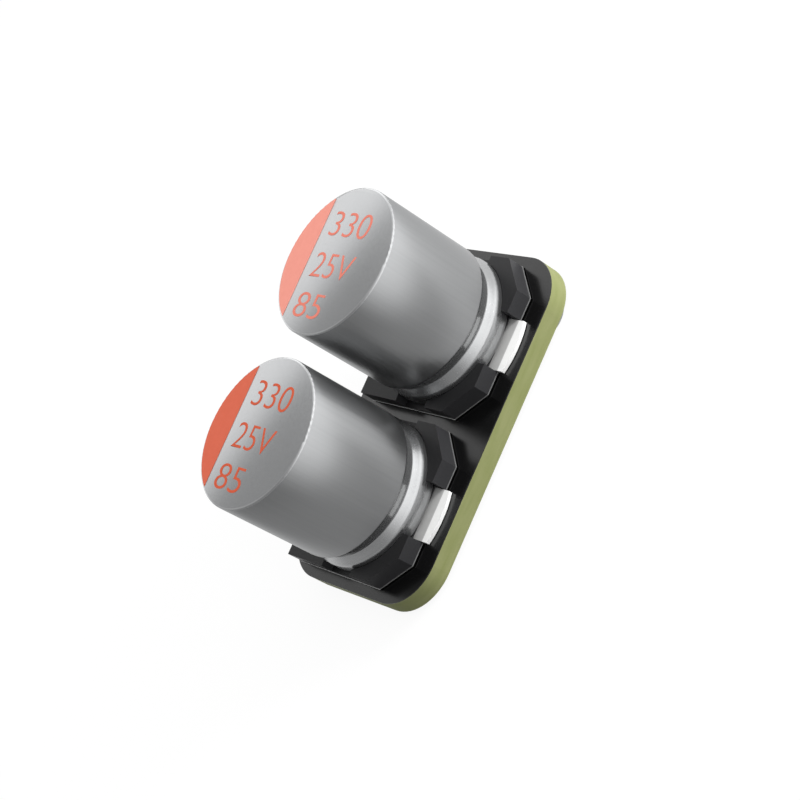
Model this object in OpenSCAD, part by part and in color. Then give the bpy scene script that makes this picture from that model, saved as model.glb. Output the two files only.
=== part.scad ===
// Capacitor module: two surface-mount aluminium electrolytic capacitors,
// wired in parallel on a small two-sided circuit board.
// Millimetres, +Z up. The board's long side runs along X. The positive
// terminals face -Y, where the bases have chamfered corners.
// The origin is under the middle of the board, level with the wire pads.

/* [Board] */
// Thickness of the glass-epoxy core
core_t = 1.3; // [0.6:0.1:2.4]
// Thickness of the copper foil on each face
copper_t = 0.04; // [0.02:0.01:0.1]
// Thickness of the solder mask over the copper
mask_t = 0.025; // [0.015:0.005:0.05]
// Radius of the board's corners
board_corner_r = 3.2; // [0.5:0.1:3.2]
// Bare board beyond the bases at each end
board_margin_l = 0.75; // [0.5:0.05:5]
// Bare board beyond the terminal feet at the front and the back
board_margin_w = 0.8; // [0.5:0.05:5]
// Bare core between the copper and the board's edge
copper_margin = 0.15; // [0.1:0.05:0.4]
// Gap between the positive and the negative copper
copper_gap = 1.2; // [0.4:0.1:2]

/* [Vias] */
// Outer diameter of a plated via
via_d = 0.6; // [0.4:0.05:0.8]
// Thickness of the plating in a via
plating_t = 0.1; // [0.05:0.01:0.15]
// Distance between vias in a row
via_pitch = 1.4; // [1:0.1:2]
// Distance of the via rows from the edge of their copper
via_inset = 0.9; // [0.6:0.1:1.5]

/* [Wire pads] */
// Diameter of the tinned pads for the supply wires
wire_pad_d = 3.4; // [2:0.1:4.5]
// How far the tinned pads stand below the board
wire_pad_t = 0.35; // [0.3:0.05:0.6]
// Radius of the solder at the edge of a wire pad
wire_pad_edge_r = 0.25; // [0.05:0.01:0.3]
// Distance of the wire pads' centres from the board's right end
wire_pad_inset = 3.2; // [3.2:0.1:8]

/* [Cans] */
// Outer diameter of a can
can_d = 10; // [8:0.1:12.5]
// Height of a can from its rim to its top
can_h = 10.55; // [8:0.05:20]
// Thickness of the can's wall
can_wall = 0.25; // [0.15:0.05:0.35]
// Radius of the can's top edge
can_top_r = 0.12; // [0.05:0.01:0.4]
// Radius of the curl at the can's bottom edge
curl_r = 0.45; // [0.3:0.05:0.6]
// How far the curled rim reaches in under the seal
rim_reach = 0.75; // [0.65:0.05:1]
// Height of the bead's upper edge above the rim
bead_h = 1.25; // [1:0.05:1.6]
// Radius of the bead's upper edge
bead_r = 0.6; // [0.05:0.05:0.8]
// Depth of the rolled groove
groove_depth = 0.36; // [0.3:0.02:0.6]
// Radius of the groove's corners
groove_r = 0.12; // [0.05:0.01:0.3]
// Height of the groove's floor
groove_floor_h = 0.55; // [0.3:0.05:0.8]
// How far the groove's floor leans out at its top
groove_lean = 0.2; // [0:0.02:0.28]
// Height of the groove's floor above the bead's upper edge
groove_rise = 0.63; // [0.5:0.01:1.2]
// Radius of the wall's lower edge, over the groove
shoulder_r = 0.35; // [0.05:0.05:0.5]

/* [Inside a can] */
// Height of the seal above the groove
seal_cover = 0.7; // [0.4:0.05:1.5]
// Clearance of the seal in the can and on the tabs
seal_clearance = 0.02; // [0.01:0.01:0.05]
// Gap between the winding and the can's wall
winding_gap = 0.25; // [0.1:0.05:0.5]
// Free height between the seal and the winding
winding_lift = 0.4; // [0.2:0.05:1]
// Free height between the winding and the can's top
winding_headroom = 0.45; // [0.2:0.05:1]
// Diameter of the hole that the winding mandrel leaves
mandrel_d = 1.2; // [0.8:0.1:1.8]
// Width of a tab's blade
tab_w = 1.9; // [1:0.1:2.4]
// Thickness of a tab's blade
tab_t = 0.2; // [0.1:0.05:0.3]
// Diameter of a tab's round shank in the seal
shank_d = 1.6; // [1:0.1:2]
// How far a tab stops short of the winding's top
tab_stop = 1.4; // [0.5:0.1:2]
// Clearance of a tab in the winding
tab_clearance = 0.02; // [0.01:0.01:0.05]

/* [Bases] */
// Plastic around the can at each side of a base
base_rim = 0.3; // [0.2:0.05:1]
// Gap between the two bases
base_gap = 0.9; // [0.2:0.1:5]
// Thickness of the floor that a can stands on
base_floor_t = 0.35; // [0.35:0.05:1]
// Height of the corner posts above the floor
post_h = 0.9; // [0.4:0.05:1.1]
// Chamfer of the two corners on the positive side
base_chamfer = 2; // [1:0.1:2.6]
// Width of the open channel at each side
side_gap_w = 3; // [1:0.1:4]
// Clearance between a can and its posts
can_clearance = 0.04; // [0.02:0.01:0.1]
// Thickness of the lip along the base's bottom edge
lip_t = 0.05; // [0.04:0.01:0.15]
// How far the lip stands out
lip_out = 0.04; // [0.02:0.01:0.1]
// Gap between the board and the bases
base_lift = 0.1; // [0.05:0.01:0.15]

/* [Terminals] */
// Width of a flattened terminal
terminal_w = 3.45; // [1.5:0.05:4]
// Thickness of a flattened terminal
terminal_t = 0.25; // [0.15:0.05:0.25]
// How far a terminal's foot reaches out of the base
foot_reach = 0.8; // [0.4:0.05:1.5]
// Diameter of the wire that rises to the tab
lead_d = 0.9; // [0.6:0.05:1]
// Distance between the two wires of a capacitor
lead_pitch = 4.6; // [4:0.1:5]
// Length over which the wire flares to the full width
flare_l = 1.3; // [0.8:0.1:1.5]
// Clearance of a terminal in the base
terminal_clearance = 0.05; // [0.02:0.01:0.1]
// Solder between the mask and a terminal's foot
foot_lift = 0.05; // [0.02:0.01:0.1]
// How far a solder joint stays inside its foot
joint_inset = 0.05; // [0.02:0.01:0.2]

/* [Print] */
// Depth of the half-moon on the negative side
mark_depth = 2.3; // [1:0.1:3]
// Thickness of the ink
ink_t = 0.02; // [0.02:0.005:0.05]
// Bare metal between the ink and the can's rounded edge
ink_margin = 0.02; // [0.01:0.01:0.3]

/* [Hidden] */
$fn = 96;
// Overlap that lets a cut pass clear of a face
cut = 1;
// Overlap of a flat with a round that it runs into
bite = 0.001;
can_r = can_d / 2;
base_w = can_d + 2 * base_rim;
cap_pitch = base_w + base_gap;
foot_r = base_w / 2 + foot_reach;
lead_y = lead_pitch / 2;
board_l = cap_pitch + base_w + 2 * board_margin_l;
board_w = 2 * (foot_r + board_margin_w);

// Levels, from the wire pads' faces upwards
bottom_copper_z = wire_pad_t + mask_t;
core_z = bottom_copper_z + copper_t;
top_copper_z = core_z + core_t;
board_top_z = top_copper_z + copper_t + mask_t;
foot_z = board_top_z + foot_lift;
base_z = board_top_z + base_lift;
can_z = base_z + base_floor_t;
seal_z = can_z + can_wall;
can_top_z = can_z + can_h;

// Heights above the can's rim
groove_z = bead_h + groove_rise;
groove_top = groove_z + groove_floor_h;
seal_top = groove_top + groove_r + seal_cover;
winding_bottom = seal_top + winding_lift;
winding_top = can_h - can_wall - winding_headroom;

// Groove section: the bead's edge, the two corners' centres, the line from
// the edge that touches the lower circle, and the floor that touches both
bead_edge = [can_r, bead_h];
groove_x = can_r - groove_depth + groove_r;
groove_corner = [groove_x, groove_z];
groove_top_corner = [groove_x + groove_lean, groove_top];
floor_normal = [-groove_floor_h, groove_lean] / norm([groove_floor_h, groove_lean]);
edge_to_corner = groove_corner - bead_edge;
edge_distance = norm(edge_to_corner);
slope_angle = atan2(edge_to_corner[1], edge_to_corner[0]) + asin(groove_r / edge_distance);
slope = [cos(slope_angle), sin(slope_angle)];
slope_normal = [slope[1], -slope[0]];

// Fit of a terminal in its base
slot_w = terminal_w + 2 * terminal_clearance;
notch_y = can_r - curl_r;
underside_groove_t = foot_z + terminal_t + terminal_clearance - base_z;

// Sides of the board and of a capacitor
positive = -1;
negative = 1;

module at_left() translate([-cap_pitch / 2, 0, 0]) children();

module at_right() translate([cap_pitch / 2, 0, 0]) children();

// Turns a shape drawn towards +Y to the positive or the negative side
module on_side(side) mirror([0, side == positive ? 1 : 0, 0]) children();

// Rectangle with round corners
module rounded_rectangle(l, w, r) {
    square([l - 2 * r, w], center = true);
    square([l, w - 2 * r], center = true);
    for (sx = [-1, 1], sy = [-1, 1])
        translate([sx * (l / 2 - r), sy * (w / 2 - r)])
            circle(r);
}

module board_outline(inset = 0)
    rounded_rectangle(board_l - 2 * inset, board_w - 2 * inset, board_corner_r - inset);

// Copper of one side, up to the gap along the board's middle
module copper_outline(side) intersection() {
    board_outline(copper_margin);
    on_side(side)
        translate([-board_l / 2, copper_gap / 2])
            square([board_l, board_w]);
}

module copper_foil(side, z) color("#b87a4b")
    translate([0, 0, z])
        linear_extrude(copper_t)
            copper_outline(side);

// Places one row of vias under each capacitor
module at_vias(side)
    for (cap = [-1, 1], i = [-1.5 : 1.5])
        translate([cap * cap_pitch / 2 + i * via_pitch, side * (copper_gap / 2 + via_inset), core_z])
            children();

module at_wire_pad(side)
    translate([board_l / 2 - wire_pad_inset, side * (board_w / 2 - copper_margin - wire_pad_d / 2), 0])
        children();

module board_core() color("#a3a577") difference() {
    translate([0, 0, core_z])
        linear_extrude(core_t)
            board_outline();
    for (side = [positive, negative])
        at_vias(side)
            translate([0, 0, -cut])
                cylinder(d = via_d, h = core_t + 2 * cut);
}

module vias(side) color("#c58a56")
    at_vias(side)
        difference() {
            cylinder(d = via_d, h = core_t);
            translate([0, 0, -cut])
                cylinder(d = via_d - 2 * plating_t, h = core_t + 2 * cut);
        }

// The mask fills the gaps between the copper and covers it, apart from the pads
module top_solder_mask() color("#17171a") difference() {
    translate([0, 0, top_copper_z])
        linear_extrude(copper_t + mask_t)
            board_outline();
    for (side = [positive, negative])
        translate([0, 0, top_copper_z - cut])
            linear_extrude(copper_t + cut)
                copper_outline(side);
    at_joints()
        translate([0, 0, top_copper_z])
            linear_extrude(cut)
                joint_outline();
}

module bottom_solder_mask() color("#17171a") difference() {
    translate([0, 0, wire_pad_t])
        linear_extrude(mask_t + copper_t)
            board_outline();
    for (side = [positive, negative]) {
        translate([0, 0, bottom_copper_z])
            linear_extrude(copper_t + cut)
                copper_outline(side);
        at_wire_pad(side)
            cylinder(d = wire_pad_d, h = bottom_copper_z);
    }
}

// Tinned pad with a flat face and a round edge
module wire_pad(side) color("#c9cacc")
    at_wire_pad(side)
        rotate_extrude()
            difference() {
                square([wire_pad_d / 2, bottom_copper_z]);
                translate([wire_pad_d / 2 - wire_pad_edge_r, 0])
                    difference() {
                        square(wire_pad_edge_r);
                        translate([0, wire_pad_edge_r])
                            circle(wire_pad_edge_r);
                    }
            }

// Flattened wire seen from above: round at the lead, flared to a parallel
// blade, and cut off along an arc about the can's axis
module terminal_outline(grow = 0) {
    blade = terminal_w / 2 + grow;
    wire = lead_d / 2 + grow;
    blade_y = lead_y + flare_l;
    intersection() {
        circle(foot_r + grow);
        polygon([
            [-wire, lead_y], [wire, lead_y], [blade, blade_y], [blade, foot_r + cut],
            [-blade, foot_r + cut], [-blade, blade_y]
        ]);
    }
    translate([0, lead_y])
        circle(wire);
}

// Part of a terminal that is soldered to the board
module joint_outline() intersection() {
    terminal_outline(-joint_inset);
    translate([-terminal_w, lead_y + flare_l])
        square([2 * terminal_w, foot_r]);
}

module at_joints()
    for (cap = [-1, 1], side = [positive, negative])
        translate([cap * cap_pitch / 2, 0, 0])
            on_side(side)
                children();

module solder_joints() color("#bfc1c4")
    at_joints()
        translate([0, 0, top_copper_z + copper_t])
            linear_extrude(mask_t + foot_lift)
                joint_outline();

module terminal(side) color("#e4e4e2")
    on_side(side) {
        translate([0, 0, foot_z])
            linear_extrude(terminal_t)
                terminal_outline();
        translate([0, lead_y, foot_z])
            cylinder(d = lead_d, h = seal_z - foot_z);
    }

// Square with two chamfered corners towards -Y
module base_outline(grow = 0) {
    half = base_w / 2 + grow;
    corner = base_chamfer + grow * (2 - sqrt(2));
    polygon([
        [-half, half], [half, half], [half, corner - half], [half - corner, -half],
        [corner - half, -half], [-half, corner - half]
    ]);
}

module base() color("#2c2c2f")
    translate([0, 0, base_z])
        difference() {
            union() {
                linear_extrude(base_floor_t + post_h)
                    base_outline();
                linear_extrude(lip_t)
                    base_outline(lip_out);
            }
            // Seat of the can between the posts
            translate([0, 0, base_floor_t])
                cylinder(r = can_r + can_clearance, h = post_h + cut);
            // Open channel from side to side
            translate([-base_w, -side_gap_w / 2, base_floor_t])
                cube([2 * base_w, side_gap_w, post_h + cut]);
            for (side = [positive, negative])
                on_side(side) {
                    // Notch over the terminal
                    translate([-slot_w / 2, notch_y, -cut])
                        cube([slot_w, base_w, base_floor_t + post_h + 2 * cut]);
                    // Groove for the terminal in the underside
                    translate([0, 0, -cut])
                        linear_extrude(underside_groove_t + cut)
                            terminal_outline(terminal_clearance);
                    // Hole for the wire
                    translate([0, lead_y, -cut])
                        cylinder(d = lead_d + 2 * terminal_clearance, h = base_floor_t + 2 * cut);
                }
        }

// Half section of the can, drawn in by the given distance
module can_outline(inset = 0) difference() {
    r = can_r - inset;
    slope_start = bead_edge - inset * slope_normal - slope * groove_r;
    slope_end = groove_corner - (groove_r + inset - bite) * slope_normal;
    translate([0, inset])
        square([r, can_h - 2 * inset]);
    if (can_top_r > inset)
        translate([can_r - can_top_r, can_h - can_top_r])
            corner_cut(can_top_r - inset);
    if (curl_r > inset)
        translate([can_r - curl_r, curl_r])
            mirror([0, 1])
                corner_cut(curl_r - inset);
    for (corner = [groove_corner, groove_top_corner])
        translate(corner)
            circle(groove_r + inset);
    polygon([
        groove_corner, groove_corner + (groove_r + inset - bite) * floor_normal,
        groove_top_corner + (groove_r + inset - bite) * floor_normal, groove_top_corner,
        [can_r + cut, groove_top], [can_r + cut, groove_z]
    ]);
    polygon([
        slope_start, slope_end, groove_corner,
        [can_r + cut, groove_z], [can_r + cut, slope_start[1]]
    ]);
    if (bead_r > inset)
        bead_round(bead_r - inset, inset);
    if (shoulder_r > inset)
        shoulder_round(shoulder_r - inset, inset);
}

// What a quarter circle leaves of its square, with the circle at the origin
module corner_cut(r) difference() {
    square(r + cut);
    circle(r);
}

// Rounds the edge between the bead and the slope above it
module bead_round(r, inset) {
    centre = [can_r - inset - r, bead_h - (r + inset) * (1 - slope_normal[0]) / slope_normal[1]];
    reach = r + cut;
    difference() {
        polygon([
            centre, centre + [reach, 0], centre + reach * ([1, 0] + slope_normal),
            centre + reach * slope_normal
        ]);
        translate(centre)
            circle(r);
    }
}

// Rounds the edge between the groove and the wall above it
module shoulder_round(r, inset) {
    x = can_r - inset;
    reach = groove_r + inset + r;
    centre = [x - r, groove_top + sqrt(pow(reach, 2) - pow(x - r - groove_top_corner[0], 2))];
    difference() {
        polygon([centre, groove_top_corner, [x + cut, groove_top], [x + cut, centre[1]]]);
        translate(centre)
            circle(r);
    }
}

module can() color("#a8aaad")
    translate([0, 0, can_z])
        rotate_extrude()
            difference() {
                can_outline();
                can_outline(can_wall);
                translate([0, -cut])
                    square([can_r - rim_reach, can_wall + 2 * cut]);
            }

// Rubber plug, pinched to the shape of the can
module seal() color("#1d1c1b")
    translate([0, 0, can_z])
        difference() {
            rotate_extrude()
                intersection() {
                    can_outline(can_wall + seal_clearance);
                    translate([0, can_wall])
                        square([can_d, seal_top - can_wall]);
                }
            for (side = [positive, negative])
                translate([0, side * lead_y, 0])
                    cylinder(d = shank_d + 2 * seal_clearance, h = can_h);
        }

// Roll of foil and paper, with a slit for each tab
module winding() color("#b39b77")
    translate([0, 0, can_z + winding_bottom])
        difference() {
            cylinder(r = can_r - can_wall - winding_gap, h = winding_top - winding_bottom);
            translate([0, 0, -cut])
                cylinder(d = mandrel_d, h = winding_top - winding_bottom + 2 * cut);
            for (side = [positive, negative])
                translate([0, side * lead_y, 0])
                    tab_blade(tab_clearance, cut);
        }

// Blade of a tab from the winding's lower face, longer below by the given drop
module tab_blade(grow, drop)
    translate([-tab_w / 2 - grow, -tab_t / 2 - grow, -drop])
        cube([tab_w + 2 * grow, tab_t + 2 * grow, winding_top - tab_stop - winding_bottom + grow + drop]);

module tab(side) color("#cfd1d3")
    translate([0, side * lead_y, can_z]) {
        translate([0, 0, can_wall])
            cylinder(d = shank_d, h = seal_top - can_wall + winding_lift / 2);
        translate([0, 0, winding_bottom])
            tab_blade(0, winding_lift);
    }

module polarity_mark() color("#e2674c")
    translate([0, 0, can_top_z])
        linear_extrude(ink_t)
            intersection() {
                circle(can_r - can_top_r - ink_margin);
                translate([-can_r, can_r - mark_depth])
                    square([can_d, can_d]);
            }

board_core();
top_solder_mask();
bottom_solder_mask();
copper_foil(positive, top_copper_z);  // positive_top_copper
copper_foil(negative, top_copper_z);  // negative_top_copper
copper_foil(positive, bottom_copper_z);  // positive_bottom_copper
copper_foil(negative, bottom_copper_z);  // negative_bottom_copper
vias(positive);  // positive_vias
vias(negative);  // negative_vias
wire_pad(positive);  // positive_wire_pad
wire_pad(negative);  // negative_wire_pad
solder_joints();
at_left() can();  // left_can
at_left() seal();  // left_seal
at_left() winding();  // left_winding
at_left() tab(positive);  // left_anode_tab
at_left() tab(negative);  // left_cathode_tab
at_left() terminal(positive);  // left_anode_terminal
at_left() terminal(negative);  // left_cathode_terminal
at_left() base();  // left_base
at_left() polarity_mark();  // left_polarity_mark
at_right() can();  // right_can
at_right() seal();  // right_seal
at_right() winding();  // right_winding
at_right() tab(positive);  // right_anode_tab
at_right() tab(negative);  // right_cathode_tab
at_right() terminal(positive);  // right_anode_terminal
at_right() terminal(negative);  // right_cathode_terminal
at_right() base();  // right_base
at_right() polarity_mark();  // right_polarity_mark
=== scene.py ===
# %% [markdown]
# # A capacitor module
# Two aluminium electrolytic capacitors stand side by side on a small black circuit board. The solids come
# from the CAD model, so this lesson gives them their finishes, prints the ratings on the cans, and lights
# and frames them as a catalogue picture does.

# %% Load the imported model
import math

import bmesh
import bpy
from mathutils import Matrix, Vector


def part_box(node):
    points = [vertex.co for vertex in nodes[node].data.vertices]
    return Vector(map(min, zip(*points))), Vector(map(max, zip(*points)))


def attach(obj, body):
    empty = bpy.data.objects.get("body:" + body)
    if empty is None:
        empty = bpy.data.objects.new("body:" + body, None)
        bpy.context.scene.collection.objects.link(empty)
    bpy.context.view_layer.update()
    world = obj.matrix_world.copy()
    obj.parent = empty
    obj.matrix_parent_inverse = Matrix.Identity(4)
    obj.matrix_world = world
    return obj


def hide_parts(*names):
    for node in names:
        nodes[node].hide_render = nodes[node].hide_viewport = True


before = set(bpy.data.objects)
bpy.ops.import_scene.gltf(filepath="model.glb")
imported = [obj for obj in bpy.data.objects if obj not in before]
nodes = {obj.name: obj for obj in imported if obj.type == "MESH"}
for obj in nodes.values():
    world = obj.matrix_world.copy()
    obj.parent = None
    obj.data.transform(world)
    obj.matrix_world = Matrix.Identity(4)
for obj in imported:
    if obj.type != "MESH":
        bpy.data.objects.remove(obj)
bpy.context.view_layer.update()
MM = 0.001
SIDES = ("left", "right")
AXIS_X = {side: sum(corner.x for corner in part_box(side + "_can")) / 2 for side in SIDES}

# %% [markdown]
# The camera, the lamp, the table and the new pieces are all put into the scene in the same way, and the
# camera and the lights are aimed by angles. So a few small helpers come first.

# %% Helpers for the scene
def put(name, data):
    """A new object in the scene."""
    item = bpy.data.objects.new(name, data)
    bpy.context.scene.collection.objects.link(item)
    return item


def put_shape(name, shape):
    """A new mesh object from a bmesh, which is then let go."""
    mesh = bpy.data.meshes.new(name)
    shape.to_mesh(mesh)
    shape.free()
    return put(name, mesh)


def direction(azimuth, elevation):
    """The unit vector at an azimuth, counted from +X towards +Y, and an elevation above the level."""
    level = math.cos(elevation)
    return Vector((level * math.cos(azimuth), level * math.sin(azimuth), math.sin(elevation)))


# %% [markdown]
# The picture was taken from above the front of the board, with the camera rolled so far that the cans lean
# to the left. A camera can be aimed with a Track To constraint, but a constraint keeps the horizon level.
# So the three axes of the camera are worked out from its azimuth, its pitch and its roll.

# %% Camera
CAMERA_PLACE = Vector((-17.907, -101.145, 79.815)) * MM
AZIMUTH = math.radians(79.76)
PITCH = math.radians(36.44)
ROLL = math.radians(-59.81)
SENSOR_WIDTH, FOCAL_LENGTH = 36, 91.54
NEAREST = 5 * MM

forward = direction(AZIMUTH, -PITCH)
level_right = forward.cross(Vector((0, 0, 1))).normalized()
level_up = level_right.cross(forward)
right = math.cos(ROLL) * level_right + math.sin(ROLL) * level_up
up = math.cos(ROLL) * level_up - math.sin(ROLL) * level_right

camera_data = bpy.data.cameras.new("catalogue_camera")
camera_data.sensor_width = SENSOR_WIDTH
camera_data.lens = FOCAL_LENGTH
camera_data.clip_start = NEAREST
camera = put("catalogue_camera", camera_data)
camera.matrix_world = Matrix.Translation(CAMERA_PLACE) @ Matrix((right, up, -forward)).transposed().to_4x4()
bpy.context.scene.camera = camera
print("camera", round(CAMERA_PLACE.length / MM), "mm from the board")

# %% [markdown]
# Every finish below is a small node tree. A few helpers are enough for all of them: one turns the hex
# colour of a paint chart into the linear values that shaders reckon with, one sets or links the sockets of
# a node, and one adds a node. Sockets go by name. Those of a Math node share one name, so they go by
# number. So do those of a Mix node, and the four that a blend of two colours needs are named here.

# %% Helpers for materials
FACTOR, COLOUR_A, COLOUR_B, BLEND = 0, 6, 7, 2


def linear(hex_colour):
    """The linear RGBA of an sRGB hex colour."""
    parts = [int(hex_colour[i:i + 2], 16) / 255 for i in (1, 3, 5)]
    return [p / 12.92 if p <= 0.04045 else ((p + 0.055) / 1.055) ** 2.4 for p in parts] + [1.0]


def plug(tree, node, sockets):
    """Fills a node's sockets. A socket takes a number, a colour, or the output that is linked to it."""
    for name, value in sockets.items():
        if isinstance(value, bpy.types.NodeSocket):
            tree.links.new(value, node.inputs[name])
        else:
            node.inputs[name].default_value = value


def add(tree, kind, sockets=None, **settings):
    """Adds a node of that kind, with its settings and its sockets."""
    node = tree.nodes.new("ShaderNode" + kind)
    for name, value in settings.items():
        setattr(node, name, value)
    plug(tree, node, sockets or {})
    return node


def start(name):
    """A new material, with its tree, its surface shader and the place on the object in metres."""
    material = bpy.data.materials.new(name)
    material.use_nodes = True
    tree = material.node_tree
    shader = tree.nodes["Principled BSDF"]
    place = add(tree, "TexCoord").outputs["Object"]
    return material, tree, shader, place


def dress(material, *node_names):
    """Gives the material to these CAD solids."""
    for name in node_names:
        for slot in nodes[name].material_slots:
            slot.material = material
    print(material.name, "on", ", ".join(node_names))


# %% [markdown]
# The cans are deep-drawn from aluminium sheet and left bare. The punch leaves the closed end smooth and
# slightly crowned, with the middle of the crown a little off the axis. The wall is dulled by the die and
# draws in a little towards the end, and the ring under the groove is rolled to a bead. On the real can
# these slopes are a few hundredths of a millimetre, and they could be faces in the mesh, but at that size
# the satin metal would hide them. So they are in the bump, drawn far steeper than they are, so that the
# light shows them. The fine lines of the die go into the gloss, a few times as coarse as they are, so that
# they show.

# %% Relief of the cans
CAN_RADIUS = (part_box("left_can")[1].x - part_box("left_can")[0].x) / 2
CAN_BOTTOM, CAN_TOP = [corner.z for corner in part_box("left_can")]
CROWN_MIDDLE = {"left": (0.3 * MM, 0.2 * MM), "right": (-0.4 * MM, -0.25 * MM)}
CROWN_TILT = math.radians(13)
CROWN_CURVE = math.tan(CROWN_TILT) / (2 * CAN_RADIUS)
LEAN_TILT = math.radians(25)
LEAN_LENGTH = 7.3 * MM
LEAN_CURVE = math.tan(LEAN_TILT) / (2 * LEAN_LENGTH)
BEAD_LOW, BEAD_HIGH = [CAN_BOTTOM + h * MM for h in (1.06, 1.5)]
BEAD_FALL = 0.025 * MM
print("cans", round(CAN_RADIUS / MM, 2), "mm in radius, up to", round(CAN_TOP / MM, 2), "mm")


def distance_squared(tree, place, x, y):
    """The square of the distance from the upright line through x and y."""
    moved = add(tree, "Mapping", {"Vector": place, "Location": (-x, -y, 0)}).outputs["Vector"]
    level = add(tree, "VectorMath", {0: moved, 1: (1, 1, 0)}, operation="MULTIPLY").outputs["Vector"]
    return add(tree, "VectorMath", {0: level, 1: level}, operation="DOT_PRODUCT").outputs["Value"]


def can_relief(tree, centred, height, side):
    """How far the metal falls away, in metres, by the crown, the lean of the wall and the bead."""
    off_middle = distance_squared(tree, centred, *CROWN_MIDDLE[side])
    crown = add(tree, "Math", {0: off_middle, 1: -CROWN_CURVE}, operation="MULTIPLY").outputs["Value"]
    above = add(tree, "Math", {0: height, 1: CAN_TOP - LEAN_LENGTH}, operation="SUBTRACT").outputs["Value"]
    leaning = add(tree, "Math", {0: above, 1: 0.0}, operation="MAXIMUM").outputs["Value"]
    squared = add(tree, "Math", {0: leaning, 1: leaning}, operation="MULTIPLY").outputs["Value"]
    crown_and_lean = add(tree, "Math", {0: squared, 1: -LEAN_CURVE, 2: crown}, operation="MULTIPLY_ADD")
    bead = add(tree, "MapRange", {"Value": height, "From Min": BEAD_LOW, "From Max": BEAD_HIGH,
                                  "To Max": -BEAD_FALL}, interpolation_type="SMOOTHSTEP")
    return add(tree, "Math", {0: crown_and_lean.outputs["Value"], 1: bead.outputs["Result"]},
               operation="ADD").outputs["Value"]


# %% [markdown]
# The tools rub hardest on the top edge and on the ring, so the metal is burnished there and smoother. There
# it is also painted paler, a painted highlight that brightens the ring and the top edge. The roller leaves
# the groove smoother still, so it mirrors the feet, but its lubricant dries there as a thin grey film. The
# film, and the skin of oxide on the bare metal, scatter a little of the light, so no part is quite a mirror
# even in its shadows. These bands could be materials of their own on faces of their own, but one material
# that reads the height above the board keeps their edges soft.

# %% Drawn aluminium
END_EDGE = 0.12 * MM
RING_FADE, RING_LOW, RING_HIGH, RING_END = [CAN_BOTTOM + h * MM for h in (0.5, 0.85, 1.80, 1.87)]
GROOVE_END, GROOVE_FADE = [CAN_BOTTOM + h * MM for h in (2.5, 2.75)]
DIE_LINE, DIE_LINE_LENGTH = 0.16 * MM, 9 * MM
WALL_ROUGHNESS, END_ROUGHNESS = 0.30, 0.23
BURNISH_CHANGE, GROOVE_CHANGE, LINE_CHANGE = -0.06, -0.16, 0.05
BARE_METALLIC, FILM_METALLIC = 0.95, 0.77


def burnish_and_highlight_mask(tree, height, radius_squared):
    """1 on the ring under the groove and on the rounded top edge, and 0 elsewhere."""
    over = add(tree, "MapRange", {"Value": height, "From Min": RING_FADE, "From Max": RING_LOW},
               interpolation_type="SMOOTHSTEP").outputs["Result"]
    under = add(tree, "MapRange", {"Value": height, "From Min": RING_HIGH, "From Max": RING_END,
                                   "To Min": 1.0, "To Max": 0.0}).outputs["Result"]
    ring = add(tree, "Math", {0: over, 1: under}, operation="MULTIPLY").outputs["Value"]
    high = add(tree, "Math", {0: height, 1: CAN_TOP - END_EDGE}, operation="GREATER_THAN").outputs["Value"]
    out = add(tree, "Math", {0: radius_squared, 1: (CAN_RADIUS - END_EDGE) ** 2},
              operation="GREATER_THAN").outputs["Value"]
    return add(tree, "Math", {0: high, 1: out, 2: ring}, operation="MULTIPLY_ADD").outputs["Value"]


def groove(tree, height):
    """1 in the rolled groove and 0 elsewhere."""
    over = add(tree, "MapRange", {"Value": height, "From Min": RING_HIGH, "From Max": RING_END})
    under = add(tree, "MapRange", {"Value": height, "From Min": GROOVE_END, "From Max": GROOVE_FADE,
                                   "To Min": 1.0, "To Max": 0.0})
    return add(tree, "Math", {0: over.outputs["Result"], 1: under.outputs["Result"]},
               operation="MULTIPLY").outputs["Value"]


def drawn_aluminium(side):
    """Bare satin aluminium on one can: relief, die lines, groove, and burnished edges with a painted
    highlight.
    """
    material, tree, shader, place = start("drawn_aluminium_" + side)
    centred = add(tree, "Mapping", {"Vector": place, "Location": (-AXIS_X[side], 0, 0)}).outputs["Vector"]
    height = add(tree, "SeparateXYZ", {"Vector": centred}).outputs["Z"]
    burnished_and_painted_highlight = burnish_and_highlight_mask(tree, height, distance_squared(tree, centred, 0, 0))
    rolled = groove(tree, height)
    stretched = add(tree, "Mapping", {"Vector": centred,
                                      "Scale": (1 / DIE_LINE, 1 / DIE_LINE, 1 / DIE_LINE_LENGTH)})
    lines = add(tree, "TexNoise", {"Vector": stretched.outputs["Vector"], "Scale": 1.0,
                                   "Detail": 2.0}).outputs["Fac"]
    drawn = add(tree, "Mix", {FACTOR: lines, COLOUR_A: linear("#a1a2a3"), COLOUR_B: linear("#abacad")},
                data_type="RGBA").outputs[BLEND]
    # The paler colour on the ring and the top edge is a painted highlight.
    metal = add(tree, "Mix", {FACTOR: burnished_and_painted_highlight, COLOUR_A: drawn, COLOUR_B: linear("#bdbebf")},
                data_type="RGBA")
    roughness = add(tree, "MapRange", {"Value": height, "From Min": CAN_TOP - END_EDGE, "From Max": CAN_TOP,
                                       "To Min": WALL_ROUGHNESS, "To Max": END_ROUGHNESS}).outputs["Result"]
    for share, change in ((burnished_and_painted_highlight, BURNISH_CHANGE), (rolled, GROOVE_CHANGE), (lines, LINE_CHANGE)):
        roughness = add(tree, "Math", {0: share, 1: change, 2: roughness},
                        operation="MULTIPLY_ADD").outputs["Value"]
    filmed = add(tree, "MapRange", {"Value": rolled, "To Min": BARE_METALLIC, "To Max": FILM_METALLIC})
    relief = add(tree, "Bump", {"Height": can_relief(tree, centred, height, side), "Distance": 1.0,
                                "Strength": 1.0})
    plug(tree, shader, {"Base Color": metal.outputs[BLEND], "Metallic": filmed.outputs["Result"],
                        "Roughness": roughness, "Normal": relief.outputs["Normal"]})
    return material


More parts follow.
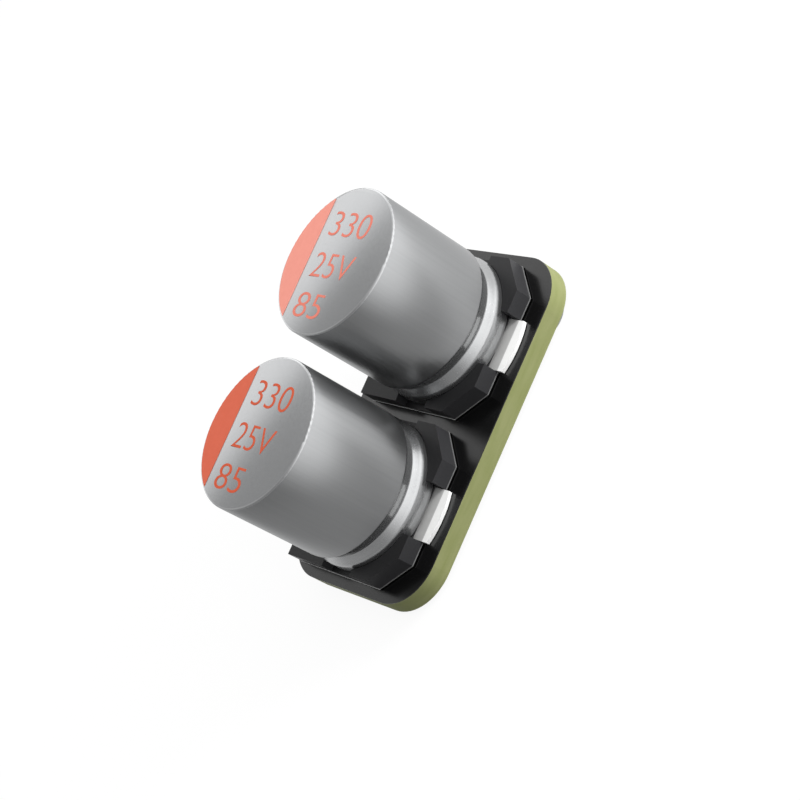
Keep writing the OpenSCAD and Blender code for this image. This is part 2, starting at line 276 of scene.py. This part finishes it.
# %% [markdown]
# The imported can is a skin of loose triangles, and satin metal shows every slip in its normals, most of all
# round the top edge. The node itself stays as it is. A copy of its mesh is merged, shaded smooth, and
# given normals that follow the large faces, so that the flat end stays flat up to its rounded edge.

# %% Smooth cans
MERGE = 0.0005 * MM
SHARP_ANGLE = math.radians(50)


def smooth_can(side):
    """A merged copy of one can, which stands in for its node."""
    shape = bmesh.new()
    shape.from_mesh(nodes[side + "_can"].data)
    bmesh.ops.remove_doubles(shape, verts=shape.verts, dist=MERGE)
    for face in shape.faces:
        face.smooth = True
    for edge in shape.edges:
        edge.smooth = edge.calc_face_angle(0.0) < SHARP_ANGLE
    piece = put_shape(side + "_drawn_can", shape)
    piece.data.materials.append(drawn_aluminium(side))
    even = piece.modifiers.new("even_normals", "WEIGHTED_NORMAL")
    even.keep_sharp = True
    even.mode = "FACE_AREA_WITH_ANGLE"
    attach(piece, "root")
    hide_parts(side + "_can")
    print(piece.name, len(piece.data.polygons), "faces")


for side in SIDES:
    smooth_can(side)

# %% [markdown]
# The base is moulded from black nylon with glass in it. The mould is spark-eroded, so the walls are an
# even matt with a grain of a few hundredths of a millimetre, drawn a few times as coarse here so that it
# shows. The level faces are painted blacker, as painted shade, since the light comes low from the right.
# Along the bottom edge the thin lip carries a pale line, a painted highlight, painted paler still on the
# left, where the lip lies in shade. The lip could be a piece of its own, but it is one moulding, so the
# height above the board tells it from the walls.

# %% Moulded base
MOULD_GRAIN, MOULD_GRAIN_DEPTH = 0.12 * MM, 0.003 * MM
LEVEL_FACE = 0.7
BASE_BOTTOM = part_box("left_base")[0].z
LIP_HEIGHT = 0.052 * MM
LEFT_STRIP_WIDTH = 0.04 * MM


def moulded_black_nylon(side):
    """Black glass-filled nylon with a spark-eroded skin, painted shade on the tops, and a painted highlight
    on the lip.
    """
    material, tree, shader, place = start("moulded_black_nylon_" + side)
    grain = add(tree, "TexNoise", {"Vector": place, "Scale": 1 / MOULD_GRAIN, "Detail": 3.0}).outputs["Fac"]
    eroded = add(tree, "Mix", {FACTOR: grain, COLOUR_A: linear("#2f2f30"), COLOUR_B: linear("#39393b")},
                 data_type="RGBA").outputs[BLEND]
    # The level faces are painted darker than the walls: painted shade, as the light comes low from the
    # right.
    painted_shade_on_tops = add(tree, "Mix", {FACTOR: grain, COLOUR_A: linear("#1f1f20"), COLOUR_B: linear("#262627")},
                   data_type="RGBA").outputs[BLEND]
    facing = add(tree, "SeparateXYZ", {"Vector": add(tree, "NewGeometry").outputs["Normal"]}).outputs["Z"]
    level = add(tree, "Math", {0: facing, 1: LEVEL_FACE}, operation="GREATER_THAN").outputs["Value"]
    black = add(tree, "Mix", {FACTOR: level, COLOUR_A: eroded, COLOUR_B: painted_shade_on_tops},
                data_type="RGBA").outputs[BLEND]
    spot = add(tree, "SeparateXYZ", {"Vector": place}).outputs
    # The pale line on the lip is a painted highlight, painted paler still on the left side, which lies in
    # shade.
    on_lip = add(tree, "Math", {0: spot["Z"], 1: BASE_BOTTOM + LIP_HEIGHT},
                 operation="LESS_THAN").outputs["Value"]
    shaded_left_strip = add(tree, "Math", {0: spot["X"], 1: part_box(side + "_base")[0].x + LEFT_STRIP_WIDTH},
                  operation="LESS_THAN").outputs["Value"]
    painted_lip_highlight = add(tree, "Mix", {FACTOR: shaded_left_strip, COLOUR_A: linear("#747474"), COLOUR_B: linear("#c2c2c2")},
                data_type="RGBA").outputs[BLEND]
    skin = add(tree, "Mix", {FACTOR: on_lip, COLOUR_A: black, COLOUR_B: painted_lip_highlight}, data_type="RGBA")
    relief = add(tree, "Bump", {"Height": grain, "Distance": MOULD_GRAIN_DEPTH, "Strength": 1.0})
    plug(tree, shader, {"Base Color": skin.outputs[BLEND], "Roughness": 0.4, "Specular IOR Level": 0.2,
                        "Normal": relief.outputs["Normal"]})
    return material


for side in SIDES:
    dress(moulded_black_nylon(side), side + "_base")

# %% [markdown]
# The board is glass cloth in epoxy. Its faces carry a black lacquer, the solder mask, which flows out to a
# gloss with a slight orange peel. The routed edge shows the bare laminate, olive and matt, with the layers
# of cloth as faint level streaks, drawn about twice as coarse as they are so that they show. The router
# runs upwards and smears the laminate over the rim of the lower mask, so only the upper mask shows as a
# black line.

# %% Board edge and solder mask
CLOTH_LAYER, CLOTH_STREAK, CLOTH_DEPTH = 0.4 * MM, 2.2 * MM, 0.004 * MM
CLOTH_DARK, CLOTH_LIGHT = 0.25, 0.75
PEEL, PEEL_DEPTH = 0.9 * MM, 0.002 * MM
STEEP_FACE = 0.5


def glass_epoxy():
    """Routed glass-epoxy laminate: olive, matt, with its cloth in layers."""
    material, tree, shader, place = start("glass_epoxy_laminate")
    layered = add(tree, "Mapping", {"Vector": place,
                                    "Scale": (1 / CLOTH_STREAK, 1 / CLOTH_STREAK, 1 / CLOTH_LAYER)})
    cloth = add(tree, "TexNoise", {"Vector": layered.outputs["Vector"], "Scale": 1.0, "Detail": 3.0,
                                   "Roughness": 0.45}).outputs["Fac"]
    streaks = add(tree, "MapRange", {"Value": cloth, "From Min": CLOTH_DARK, "From Max": CLOTH_LIGHT})
    olive = add(tree, "Mix", {FACTOR: streaks.outputs["Result"], COLOUR_A: linear("#858b57"),
                              COLOUR_B: linear("#919566")}, data_type="RGBA")
    relief = add(tree, "Bump", {"Height": cloth, "Distance": CLOTH_DEPTH, "Strength": 1.0})
    plug(tree, shader, {"Base Color": olive.outputs[BLEND], "Roughness": 0.62,
                        "Normal": relief.outputs["Normal"]})
    return material


def black_solder_mask(name, rim):
    """Black lacquer, flowed out to a gloss with a slight orange peel, with a routed rim of that colour."""
    material, tree, shader, place = start(name)
    peel = add(tree, "TexNoise", {"Vector": place, "Scale": 1 / PEEL, "Detail": 1.0}).outputs["Fac"]
    black = add(tree, "Mix", {FACTOR: peel, COLOUR_A: linear("#030303"), COLOUR_B: linear("#060606")},
                data_type="RGBA").outputs[BLEND]
    facing = add(tree, "SeparateXYZ", {"Vector": add(tree, "NewGeometry").outputs["Normal"]}).outputs["Z"]
    slope = add(tree, "Math", {0: facing}, operation="ABSOLUTE").outputs["Value"]
    routed = add(tree, "Math", {0: slope, 1: STEEP_FACE}, operation="LESS_THAN").outputs["Value"]
    lacquer = add(tree, "Mix", {FACTOR: routed, COLOUR_A: black, COLOUR_B: linear(rim)}, data_type="RGBA")
    relief = add(tree, "Bump", {"Height": peel, "Distance": PEEL_DEPTH, "Strength": 1.0})
    plug(tree, shader, {"Base Color": lacquer.outputs[BLEND], "Roughness": 0.2, "Specular IOR Level": 0.75,
                        "Normal": relief.outputs["Normal"]})
    return material


dress(glass_epoxy(), "board_core")
dress(black_solder_mask("black_solder_mask_top", "#0a0a0a"), "top_solder_mask")
dress(black_solder_mask("black_solder_mask_bottom", "#8b915b"), "bottom_solder_mask")

# %% [markdown]
# The feet are flattened wire with a matt tin plating. Under the base the tin is grey, and that grey is also
# painted darker, as painted shade of the notch under the can. The bare ends were dipped in the soldering
# and have gone white. One material can hold both: it turns from one to the other at the front of the base,
# by the distance from the middle of the board. Matt tin scatters light as chalk does, so it is no mirror
# here. The solder and the copper are metals in other colours. The crystals of all three are far finer than
# a hair, so they are drawn as coarse as they need to show.

# %% Tin plating, solder and copper
METAL_GRAIN = 0.25 * MM
BASE_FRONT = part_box("left_base")[1].y
DIP_EDGE = 0.1 * MM


def tinned_wire():
    """Flattened wire: grey matt tin, painted darker as shade under the base, and white where it was dipped.
    """
    material, tree, shader, place = start("matt_tin_plating")
    grain = add(tree, "TexNoise", {"Vector": place, "Scale": 1 / METAL_GRAIN, "Detail": 2.0}).outputs["Fac"]
    # Under the base the tin is painted darker: painted shade of the notch under the can.
    grey_and_painted_shade = add(tree, "Mix", {FACTOR: grain, COLOUR_A: linear("#aaaaa9"), COLOUR_B: linear("#b3b3b2")},
               data_type="RGBA").outputs[BLEND]
    white = add(tree, "Mix", {FACTOR: grain, COLOUR_A: linear("#eeeeed"), COLOUR_B: linear("#f6f6f5")},
                data_type="RGBA").outputs[BLEND]
    along = add(tree, "SeparateXYZ", {"Vector": place}).outputs["Y"]
    distance = add(tree, "Math", {0: along}, operation="ABSOLUTE").outputs["Value"]
    dipped = add(tree, "MapRange", {"Value": distance, "From Min": BASE_FRONT,
                                    "From Max": BASE_FRONT + DIP_EDGE}).outputs["Result"]
    tin = add(tree, "Mix", {FACTOR: dipped, COLOUR_A: grey_and_painted_shade, COLOUR_B: white}, data_type="RGBA")
    plug(tree, shader, {"Base Color": tin.outputs[BLEND], "Roughness": 0.5})
    return material


def grained_metal(name, dark, light, smooth, rough):
    """Solder or copper: a metal whose crystals vary its colour and its gloss a little."""
    material, tree, shader, place = start(name)
    grain = add(tree, "TexNoise", {"Vector": place, "Scale": 1 / METAL_GRAIN, "Detail": 2.0}).outputs["Fac"]
    tint = add(tree, "Mix", {FACTOR: grain, COLOUR_A: linear(dark), COLOUR_B: linear(light)},
               data_type="RGBA")
    gloss = add(tree, "MapRange", {"Value": grain, "To Min": smooth, "To Max": rough})
    plug(tree, shader, {"Base Color": tint.outputs[BLEND], "Roughness": gloss.outputs["Result"],
                        "Metallic": 1.0})
    return material


dress(tinned_wire(), *[side + pole for side in SIDES for pole in ("_anode_terminal", "_cathode_terminal")])
dress(grained_metal("solder", "#cfd0d0", "#e2e3e3", 0.2, 0.34), "solder_joints")
dress(grained_metal("dull_solder", "#a3a2a5", "#b4b3b6", 0.35, 0.5),
      "positive_wire_pad", "negative_wire_pad")
dress(grained_metal("copper_foil", "#c98a66", "#d89b78", 0.25, 0.4), "positive_vias", "negative_vias",
      *[pole + face for pole in ("positive_", "negative_") for face in ("top_copper", "bottom_copper")])

# %% [markdown]
# Inside each can are a rubber seal, the winding and two aluminium tabs. None of them shows, but a cutaway
# would show them, so each gets its own plain finish.

# %% Inner parts
def inner_finish(name, dark, light, roughness, metallic, grain_size):
    """A plain mottled finish for a part inside the can."""
    material, tree, shader, place = start(name)
    grain = add(tree, "TexNoise", {"Vector": place, "Scale": 1 / grain_size, "Detail": 2.0}).outputs["Fac"]
    tint = add(tree, "Mix", {FACTOR: grain, COLOUR_A: linear(dark), COLOUR_B: linear(light)},
               data_type="RGBA")
    plug(tree, shader, {"Base Color": tint.outputs[BLEND], "Roughness": roughness, "Metallic": metallic})
    return material


dress(inner_finish("butyl_rubber", "#1c1c1d", "#2a2a2b", 0.7, 0.0, 0.2 * MM), "left_seal", "right_seal")
dress(inner_finish("soaked_paper_and_foil", "#8d7a58", "#b09a72", 0.6, 0.0, 0.15 * MM),
      "left_winding", "right_winding")
dress(inner_finish("etched_aluminium", "#a6a8aa", "#b8babc", 0.45, 1.0, 0.1 * MM),
      *[side + pole for side in SIDES for pole in ("_anode_tab", "_cathode_tab")])

# %% [markdown]
# The negative side of each can has a half-moon of orange-red ink, rolled on and baked. It is a thin, even
# coat, almost matt. On the right can it is painted paler, a painted sheen of the light that its top
# mirrors. The ratings are stamped on afterwards with a stronger red, so they are a little deeper in
# colour, and on the right can they carry the same painted sheen.

# %% Printing ink
INK_MOTTLE, INK_RELIEF = 0.35 * MM, 0.002 * MM
# The right shades are painted paler than the left: a painted sheen on the same ink.
MARK_SHADES_AND_SHEEN = {"left": ("#ce5e43", "#d6664b"), "right": ("#e59081", "#ec9989")}
PRINT_SHADES_AND_SHEEN = {"left": ("#c55030", "#cd5837"), "right": ("#d97766", "#e07f6d")}


def printing_ink(name, dark, light):
    """Baked orange-red printing ink: almost matt, with a slight mottle from the roller."""
    material, tree, shader, place = start(name)
    mottle = add(tree, "TexNoise", {"Vector": place, "Scale": 1 / INK_MOTTLE, "Detail": 3.0}).outputs["Fac"]
    red = add(tree, "Mix", {FACTOR: mottle, COLOUR_A: linear(dark), COLOUR_B: linear(light)},
              data_type="RGBA")
    relief = add(tree, "Bump", {"Height": mottle, "Distance": INK_RELIEF, "Strength": 1.0})
    plug(tree, shader, {"Base Color": red.outputs[BLEND], "Roughness": 0.45, "Specular IOR Level": 0.1,
                        "Normal": relief.outputs["Normal"]})
    return material


for side in SIDES:
    dress(printing_ink("baked_mark_ink_" + side, *MARK_SHADES_AND_SHEEN[side]), side + "_polarity_mark")

# %% [markdown]
# Each can carries three plain ratings in the stronger red: capacitance, voltage and temperature. Letters
# could be painted by a texture, but real ink stands a little proud, and a mesh keeps a crisp edge. So a text
# object is made a mesh, stretched to its place on the can, and left half as thick as the half-moon.

# %% Rating print
RATINGS = (("330", 1.58 * MM, 3.98 * MM), ("25V", -1.22 * MM, 3.97 * MM), ("85", -3.92 * MM, 2.75 * MM))
RATING_LEFT = 1.9 * MM
CAP_HEIGHT = 1.65 * MM
LETTER_COAT = (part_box("left_polarity_mark")[1].z - CAN_TOP) / 2
STROKE_OFFSET = -0.012
READING_TURN = math.radians(-90)


def line_of_print(words):
    """A mesh of the words, one unit thick, with its lower left corner at the origin and 1 high and wide."""
    text = bpy.data.curves.new(words, "FONT")
    text.body = words
    text.extrude = 0.5
    text.offset = STROKE_OFFSET
    holder = put(words, text)
    bpy.context.view_layer.update()
    mesh = bpy.data.meshes.new_from_object(holder.evaluated_get(bpy.context.evaluated_depsgraph_get()))
    bpy.data.objects.remove(holder)
    low = [min(v.co[i] for v in mesh.vertices) for i in range(3)]
    high = [max(v.co[i] for v in mesh.vertices) for i in range(3)]
    mesh.transform(Matrix.Translation([-v for v in low]))
    mesh.transform(Matrix.Diagonal([1 / (b - a) for a, b in zip(low, high)] + [1]))
    return mesh


def rating_print(side):
    """The three lines on one can: they read towards the front, with their feet towards the left."""
    shape = bmesh.new()
    for words, baseline, width in RATINGS:
        mesh = line_of_print(words)
        mesh.transform(Matrix.Diagonal((width, CAP_HEIGHT, LETTER_COAT, 1)))
        mesh.transform(Matrix.Rotation(READING_TURN, 4, "Z"))
        mesh.transform(Matrix.Translation((AXIS_X[side] + baseline, RATING_LEFT, CAN_TOP)))
        shape.from_mesh(mesh)
    bmesh.ops.remove_doubles(shape, verts=shape.verts, dist=MERGE)
    bmesh.ops.recalc_face_normals(shape, faces=shape.faces)
    piece = put_shape(side + "_rating_print", shape)
    piece.data.materials.append(printing_ink("baked_print_ink_" + side, *PRINT_SHADES_AND_SHEEN[side]))
    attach(piece, "root")
    print(piece.name, len(piece.data.polygons), "faces")


for side in SIDES:
    rating_print(side)

# %% [markdown]
# The module stands on a white table. A floor that is lit to white would need far more light than the part
# can take, so the table gives most of its white by itself: evenly to the camera, and to the metal with the
# fall of light that a real table has, brighter at the back right. Where one can mirrors the other, the
# table in the second mirror stays dim, most of all on the right, so the cans set each other off. The rest
# is plain diffuse grey that keeps the soft shadow.

# %% Floor
FLOOR_SIZE = 4.0
BRIGHT_WAY = direction(math.radians(46), 0.0)
FALL_START, FALL_END = -15.5 * MM, -1.5 * MM
MIRRORED_DIM, MIRRORED_BRIGHT = 0.33, 0.71
SECOND_FALL = 3 * MM
SECOND_LEFT, SECOND_RIGHT = 0.34, 0.06
SEEN_WHITE = 0.91


def white_table():
    """Diffuse grey with a white of its own, which the camera and the metal see."""
    material, tree, shader, place = start("white_table")
    bright = add(tree, "VectorMath", {0: place, 1: BRIGHT_WAY}, operation="DOT_PRODUCT").outputs["Value"]
    first = add(tree, "MapRange", {"Value": bright, "From Min": FALL_START, "From Max": FALL_END,
                                   "To Min": MIRRORED_DIM, "To Max": MIRRORED_BRIGHT},
                interpolation_type="SMOOTHSTEP").outputs["Result"]
    across = add(tree, "SeparateXYZ", {"Vector": place}).outputs["X"]
    second = add(tree, "MapRange", {"Value": across, "From Min": -SECOND_FALL, "From Max": SECOND_FALL,
                                    "To Min": SECOND_LEFT, "To Max": SECOND_RIGHT}).outputs["Result"]
    rays = add(tree, "LightPath").outputs
    level = add(tree, "MapRange", {"Value": rays["Glossy Depth"], "From Min": 1.0, "From Max": 2.0,
                                   "To Min": first, "To Max": second}).outputs["Result"]
    mirrored = add(tree, "Math", {0: rays["Is Glossy Ray"], 1: rays["Is Transmission Ray"]},
                   operation="MAXIMUM").outputs["Value"]
    to_metal = add(tree, "Math", {0: mirrored, 1: level}, operation="MULTIPLY").outputs["Value"]
    glow = add(tree, "Math", {0: rays["Is Camera Ray"], 1: SEEN_WHITE, 2: to_metal},
               operation="MULTIPLY_ADD")
    plug(tree, shader, {"Base Color": linear("#5a5a5a"), "Roughness": 1.0, "Specular IOR Level": 0.0,
                        "Emission Color": linear("#ffffff"), "Emission Strength": glow.outputs["Value"]})
    return material


floor_shape = bmesh.new()
bmesh.ops.create_grid(floor_shape, x_segments=1, y_segments=1, size=FLOOR_SIZE / 2)
floor = put_shape("white_table", floor_shape)
floor.data.materials.append(white_table())
print("table", FLOOR_SIZE, "m wide")

# %% [markdown]
# The light is a dim room with soft openings: a wide one at the front right, which lights the walls of the
# cans and the bright ring above the curl, a lower one at the back right, which the tops of the cans
# mirror, and weak ones above both. Area lamps would do, but satin metal shows their hard edges. So each
# opening is a glow in the world, full near its middle and fading out by the angle from it, and dimmer in a
# second mirror.

# %% Room light
ROOM = 0.32
# Each opening has its azimuth and elevation, the angles from its middle up to which it is full and at which
# it ends, all in degrees, and its strength in a first and in a second mirror.
OPENINGS = {
    "front_right": (-40, 2, 34, 107, 1.33, 0.33),
    "back_right": (67, -1.5, 28, 47, 1.06, 0.0),
    "back_wall": (89, 30, 35, 48, 0.25, 0.0),
    "upper_right": (-22, 24, 10, 34, 0.3, 0.1),
}

world = bpy.data.worlds.new("grey_room")
bpy.context.scene.world = world
world.use_nodes = True
room = world.node_tree
outwards = add(room, "TexCoord").outputs["Generated"]
room_rays = add(room, "LightPath").outputs
light = ROOM
for name, (*angles, strength, second_strength) in OPENINGS.items():
    azimuth, elevation, inner, outer = [math.radians(angle) for angle in angles]
    nearness = add(room, "VectorMath", {0: outwards, 1: direction(azimuth, elevation)},
                   operation="DOT_PRODUCT").outputs["Value"]
    full = add(room, "MapRange", {"Value": room_rays["Glossy Depth"], "From Min": 1.0, "From Max": 2.0,
                                  "To Min": strength, "To Max": second_strength}).outputs["Result"]
    opening = add(room, "MapRange", {"Value": nearness, "From Min": math.cos(outer),
                                     "From Max": math.cos(inner), "To Max": full},
                  interpolation_type="SMOOTHSTEP").outputs["Result"]
    light = add(room, "Math", {0: opening, 1: light}, operation="ADD").outputs["Value"]
    print(name, "opening, strength", strength)

shown = add(room, "MapRange", {"Value": room_rays["Is Camera Ray"], "To Min": light, "To Max": 1.0})
plug(room, room.nodes["Background"], {"Color": linear("#ffffff"), "Strength": shown.outputs["Result"]})

# %% [markdown]
# One area lamp stands in the front right opening. It is hidden from the mirrors, and gives the matt parts
# the light and the soft shadow of a near window. The world could give that light too, but its shadow would
# be too soft to see.

# %% Window
WINDOW_AZIMUTH, WINDOW_ELEVATION = math.radians(-40), math.radians(20)
WINDOW_DISTANCE, WINDOW_SIZE, WINDOW_POWER = 90 * MM, 27 * MM, 0.0615

window_data = bpy.data.lights.new("window", "AREA")
window_data.energy = WINDOW_POWER
window_data.size = WINDOW_SIZE
window = put("window", window_data)
window.location = WINDOW_DISTANCE * direction(WINDOW_AZIMUTH, WINDOW_ELEVATION)
window.rotation_euler = (math.pi / 2 - WINDOW_ELEVATION, 0, WINDOW_AZIMUTH + math.pi / 2)
window.visible_camera = False
window.visible_glossy = False
bpy.context.scene.view_settings.view_transform = "Standard"
print("window light from", round(math.degrees(WINDOW_AZIMUTH)), "degrees")
